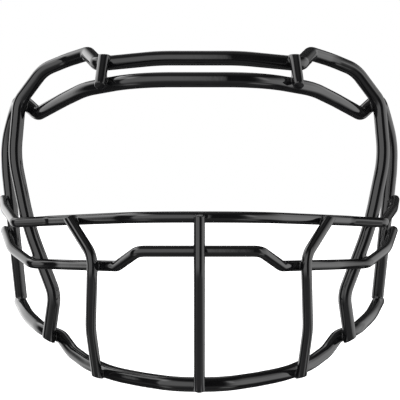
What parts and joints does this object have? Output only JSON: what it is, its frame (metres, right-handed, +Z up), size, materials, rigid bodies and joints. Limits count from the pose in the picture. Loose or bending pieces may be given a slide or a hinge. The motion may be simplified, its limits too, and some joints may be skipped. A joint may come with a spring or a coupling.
{
  "type": "american football face guard",
  "caption": "Wire face guard for an american football helmet: a black coated cage of bent bars welded together, open at the eyes, with a guarded mouth and chin.",
  "frame": {"origin": "on the mid-plane, at the back of the frame wire's brow run, where the helmet shell meets it", "axes": "+X across the face to the wearer's left, +Y back towards the helmet shell, +Z up"},
  "size_m": [0.2358, 0.1583, 0.1738],
  "materials": {
    "black_coating": "high gloss powder coat over welded steel wire"
  },
  "bodies": {
    "root": {"frame_wire": "black_coating", "brow_wire": "black_coating", "chin_wire": "black_coating", "upper_bar": "black_coating", "lower_bar": "black_coating", "centre_upright": "black_coating", "side_upright_left": "black_coating", "side_upright_right": "black_coating", "brow_strut_left": "black_coating", "brow_strut_right": "black_coating", "weld_strut_top_left": "black_coating", "weld_strut_top_right": "black_coating", "weld_strut_bottom_left": "black_coating", "weld_strut_bottom_right": "black_coating", "weld_temple_left": "black_coating", "weld_temple_right": "black_coating", "weld_upper_bar_frame_left": "black_coating", "weld_upper_bar_frame_right": "black_coating", "weld_upper_bar_end_left": "black_coating", "weld_upper_bar_end_right": "black_coating", "weld_upper_bar_side_left": "black_coating", "weld_upper_bar_side_right": "black_coating", "weld_lower_bar_frame_left": "black_coating", "weld_lower_bar_frame_right": "black_coating", "weld_lower_bar_end_left": "black_coating", "weld_lower_bar_end_right": "black_coating", "weld_lower_bar_side_left": "black_coating", "weld_lower_bar_side_right": "black_coating", "weld_chin_side_left": "black_coating", "weld_chin_side_right": "black_coating", "weld_chin_foot_left": "black_coating", "weld_chin_foot_right": "black_coating", "weld_chin_end_left": "black_coating", "weld_chin_end_right": "black_coating", "weld_upper_bar_centre": "black_coating", "weld_lower_bar_centre": "black_coating", "weld_chin_centre": "black_coating"}
  },
  "joints": []
}
